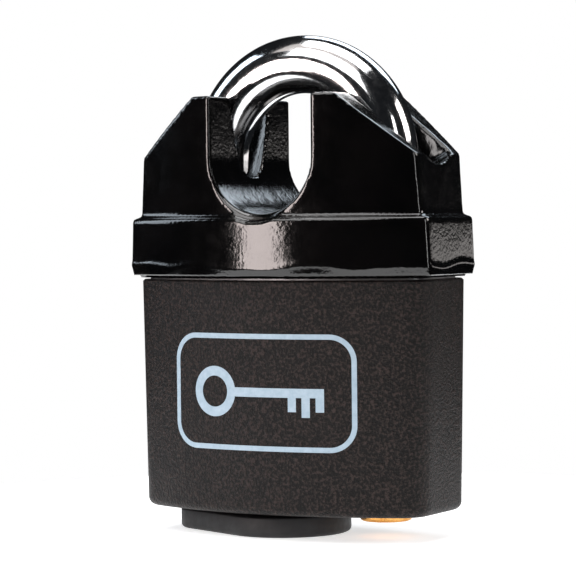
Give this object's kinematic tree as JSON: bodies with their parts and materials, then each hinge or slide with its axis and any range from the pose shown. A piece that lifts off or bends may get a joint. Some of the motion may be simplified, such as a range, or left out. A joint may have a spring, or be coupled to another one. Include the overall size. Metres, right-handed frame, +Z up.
{
  "type": "shrouded block padlock",
  "caption": "Closed-shackle block padlock: steel guard ears shroud a short round shackle above a jacketed body with a swinging keyway cover.",
  "frame": {"origin": "under the middle of the body, on the plane that the keyway cover rests on", "axes": "+Z up along the shackle legs, front face towards -Y, +X from the toe leg to the heel leg"},
  "size_m": [0.0642, 0.036, 0.0939],
  "materials": {
    "guard_paint": "glossy black paint over a rough casting",
    "jacket_plastic": "fine-grained satin black-brown",
    "cover_plastic": "matte black moulded plastic",
    "chrome": "polished plate",
    "brass": "turned, satin",
    "brass_inner": "machined",
    "cast_zinc": "as cast",
    "steel": "machined",
    "hard_steel": "hardened, dark",
    "spring_steel": "drawn wire",
    "ball_steel": "ground and polished",
    "zinc_plated": "bright zinc plate",
    "print_ink": "pale blue-grey pad print"
  },
  "bodies": {
    "lock_body": {"shackle_guard": "guard_paint", "body_jacket": "jacket_plastic", "lock_core": "cast_zinc", "heel_plug": "brass", "guard_screw_1": "zinc_plated", "guard_screw_2": "zinc_plated", "guard_screw_3": "zinc_plated", "guard_screw_4": "zinc_plated", "cylinder_shell": "steel", "rotor_clip": "spring_steel", "cylinder_grub_screw": "zinc_plated", "cover_rivet": "zinc_plated", "cover_washer": "spring_steel", "shackle_spring": "spring_steel"},
    "shackle_body": {"shackle": "chrome"},
    "plug_body": {"rotor": "brass_inner", "drill_plate": "hard_steel", "disc_1": "brass_inner", "disc_2": "brass_inner", "disc_3": "brass_inner", "disc_4": "brass_inner", "disc_5": "brass_inner", "disc_6": "brass_inner", "disc_7": "brass_inner", "disc_8": "brass_inner", "disc_9": "brass_inner", "spacer_1": "steel", "spacer_2": "steel", "spacer_3": "steel", "spacer_4": "steel", "spacer_5": "steel", "spacer_6": "steel", "spacer_7": "steel", "spacer_8": "steel", "sidebar": "steel", "actuator_cam": "hard_steel"},
    "toe_ball_body": {"toe_ball": "ball_steel"},
    "heel_ball_body": {"heel_ball": "ball_steel"},
    "cover_body": {"keyway_cover": "cover_plastic"}
  },
  "joints": [
    {"name": "shackle_lift", "type": "slide", "parent": "lock_body", "child": "shackle_body", "axis": [0, 0, 1], "range_m": [0, 0.0368], "deforming": ["shackle_spring"]},
    {"name": "plug_turn", "type": "hinge", "parent": "lock_body", "child": "plug_body", "pos_m": [0.00095, 0, 0.0388], "axis": [0, 0, 1], "range_deg": [-90, 0]},
    {"name": "toe_ball_slide", "type": "slide", "parent": "lock_body", "child": "toe_ball_body", "axis": [-1, 0, 0], "range_m": [0, 0.00221]},
    {"name": "heel_ball_slide", "type": "slide", "parent": "lock_body", "child": "heel_ball_body", "axis": [1, 0, 0], "range_m": [0, 0.00131]},
    {"name": "cover_swing", "type": "hinge", "parent": "lock_body", "child": "cover_body", "pos_m": [-0.0202, 0, 0], "axis": [0, 0, 1], "range_deg": [-100, 100]}
  ],
  "couplings": [
    {"joint": "toe_ball_slide", "follows": "plug_turn", "m_per_rad": -0.0014006},
    {"joint": "heel_ball_slide", "follows": "plug_turn", "m_per_rad": -0.00082761}
  ]
}
